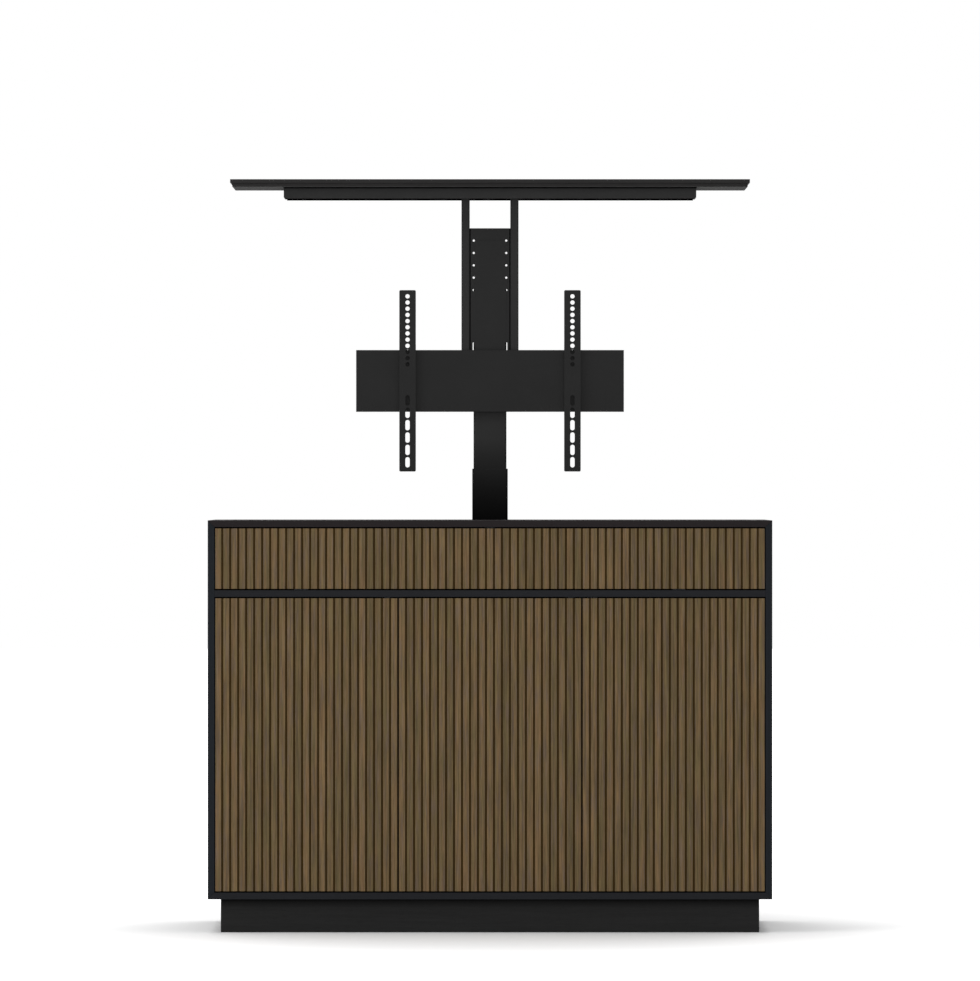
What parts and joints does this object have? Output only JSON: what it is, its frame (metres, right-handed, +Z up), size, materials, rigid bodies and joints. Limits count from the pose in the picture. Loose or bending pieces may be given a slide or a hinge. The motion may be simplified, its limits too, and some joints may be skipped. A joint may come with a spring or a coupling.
{
  "type": "tv lift cabinet",
  "caption": "Low cabinet with slatted doors and a drop flap, and a telescopic screw lift that raises a perforated television mount and the lid above it.",
  "frame": {"origin": "middle of the footprint, on the floor under the plinth", "axes": "+X to the right seen from the front, the slatted fronts face -Y, +Z up"},
  "size_m": [1.342, 0.5, 1.803],
  "materials": {
    "slat_wood": "satin",
    "dark_board": "matt",
    "black_steel": "fine powder coat",
    "bright_steel": "satin",
    "black_plastic": "matt",
    "grey_plastic": "matt"
  },
  "bodies": {
    "cabinet": {"left_side_panel": "dark_board", "right_side_panel": "dark_board", "top_panel": "dark_board", "bottom_panel": "dark_board", "middle_rail": "dark_board", "well_partition": "dark_board", "left_divider": "dark_board", "right_divider": "dark_board", "left_shelf": "dark_board", "centre_shelf": "dark_board", "right_shelf": "dark_board", "back_panel": "dark_board", "plinth_front": "dark_board", "plinth_back": "dark_board", "plinth_left": "dark_board", "plinth_right": "dark_board", "left_hinge_lower": "bright_steel", "left_hinge_upper": "bright_steel", "centre_hinge_lower": "bright_steel", "centre_hinge_upper": "bright_steel", "right_hinge_lower": "bright_steel", "right_hinge_upper": "bright_steel", "flap_hinge_left": "bright_steel", "flap_hinge_right": "bright_steel", "left_door_latch": "grey_plastic", "centre_door_latch": "grey_plastic", "right_door_latch": "grey_plastic", "flap_latch": "grey_plastic", "lift_base_plate": "black_steel", "gearbox_housing": "black_steel", "drive_motor": "black_steel", "outer_tube": "black_steel", "outer_glide_collar": "black_plastic", "column_brace": "black_steel", "control_box": "black_plastic"},
    "middle_stage": {"middle_tube": "black_steel", "middle_glide_collar": "black_plastic", "middle_tube_plug": "bright_steel"},
    "lift_carriage": {"inner_tube": "black_steel", "inner_tube_nut": "bright_steel", "column_head": "black_steel", "spine_plate": "black_steel", "mount_bar": "black_steel", "left_lid_upright": "black_steel", "right_lid_upright": "black_steel", "lid_carrier": "black_steel", "lid": "dark_board"},
    "lower_screw_shaft": {"lower_screw": "bright_steel"},
    "upper_screw_shaft": {"upper_screw": "bright_steel"},
    "left_mount_arm": {"left_arm": "black_steel"},
    "right_mount_arm": {"right_arm": "black_steel"},
    "left_leaf": {"left_door": "slat_wood"},
    "centre_leaf": {"centre_door": "slat_wood"},
    "right_leaf": {"right_door": "slat_wood"},
    "flap_leaf": {"front_flap": "slat_wood"},
    "left_door_button": {"left_door_plunger": "black_plastic"},
    "centre_door_button": {"centre_door_plunger": "black_plastic"},
    "right_door_button": {"right_door_plunger": "black_plastic"},
    "flap_button": {"flap_plunger": "black_plastic"}
  },
  "joints": [
    {"name": "lift_middle", "type": "slide", "parent": "cabinet", "child": "middle_stage", "axis": [0, 0, 1], "range_m": [-0.411, 0]},
    {"name": "lift_inner", "type": "slide", "parent": "middle_stage", "child": "lift_carriage", "axis": [0, 0, 1], "range_m": [-0.411, 0]},
    {"name": "lower_screw_turn", "type": "hinge", "parent": "cabinet", "child": "lower_screw_shaft", "pos_m": [0, 0.159, 0.114], "axis": [0, 0, 1], "continuous": true},
    {"name": "upper_screw_turn", "type": "hinge", "parent": "middle_stage", "child": "upper_screw_shaft", "pos_m": [0, 0.159, 0.545], "axis": [0, 0, 1], "continuous": true},
    {"name": "left_arm_slide", "type": "slide", "parent": "lift_carriage", "child": "left_mount_arm", "axis": [-1, 0, 0], "range_m": [-0.1, 0.1]},
    {"name": "right_arm_slide", "type": "slide", "parent": "lift_carriage", "child": "right_mount_arm", "axis": [1, 0, 0], "range_m": [-0.1, 0.1]},
    {"name": "left_door_hinge", "type": "hinge", "parent": "cabinet", "child": "left_leaf", "pos_m": [-0.65312, -0.2485, 0.4475], "axis": [0, 0, -1], "range_deg": [0, 105]},
    {"name": "centre_door_hinge", "type": "hinge", "parent": "cabinet", "child": "centre_leaf", "pos_m": [-0.2175, -0.2485, 0.4475], "axis": [0, 0, -1], "range_deg": [0, 105]},
    {"name": "right_door_hinge", "type": "hinge", "parent": "cabinet", "child": "right_leaf", "pos_m": [0.65312, -0.2485, 0.4475], "axis": [0, 0, 1], "range_deg": [0, 105]},
    {"name": "flap_hinge", "type": "hinge", "parent": "cabinet", "child": "flap_leaf", "pos_m": [0, -0.2485, 0.818], "axis": [1, 0, 0], "range_deg": [0, 90]},
    {"name": "left_door_push", "type": "slide", "parent": "cabinet", "child": "left_door_button", "axis": [0, 1, 0], "range_m": [0, 0.003], "stiffness_N_per_m": 300, "springref_m": -0.004},
    {"name": "centre_door_push", "type": "slide", "parent": "cabinet", "child": "centre_door_button", "axis": [0, 1, 0], "range_m": [0, 0.003], "stiffness_N_per_m": 300, "springref_m": -0.004},
    {"name": "right_door_push", "type": "slide", "parent": "cabinet", "child": "right_door_button", "axis": [0, 1, 0], "range_m": [0, 0.003], "stiffness_N_per_m": 300, "springref_m": -0.004},
    {"name": "flap_push", "type": "slide", "parent": "cabinet", "child": "flap_button", "axis": [0, 1, 0], "range_m": [0, 0.003], "stiffness_N_per_m": 300, "springref_m": -0.004}
  ],
  "couplings": [
    {"joint": "lift_inner", "follows": "lift_middle", "ratio": 1},
    {"joint": "lower_screw_turn", "follows": "lift_middle", "rad_per_m": -628.32},
    {"joint": "upper_screw_turn", "follows": "lift_middle", "rad_per_m": -314.16}
  ]
}
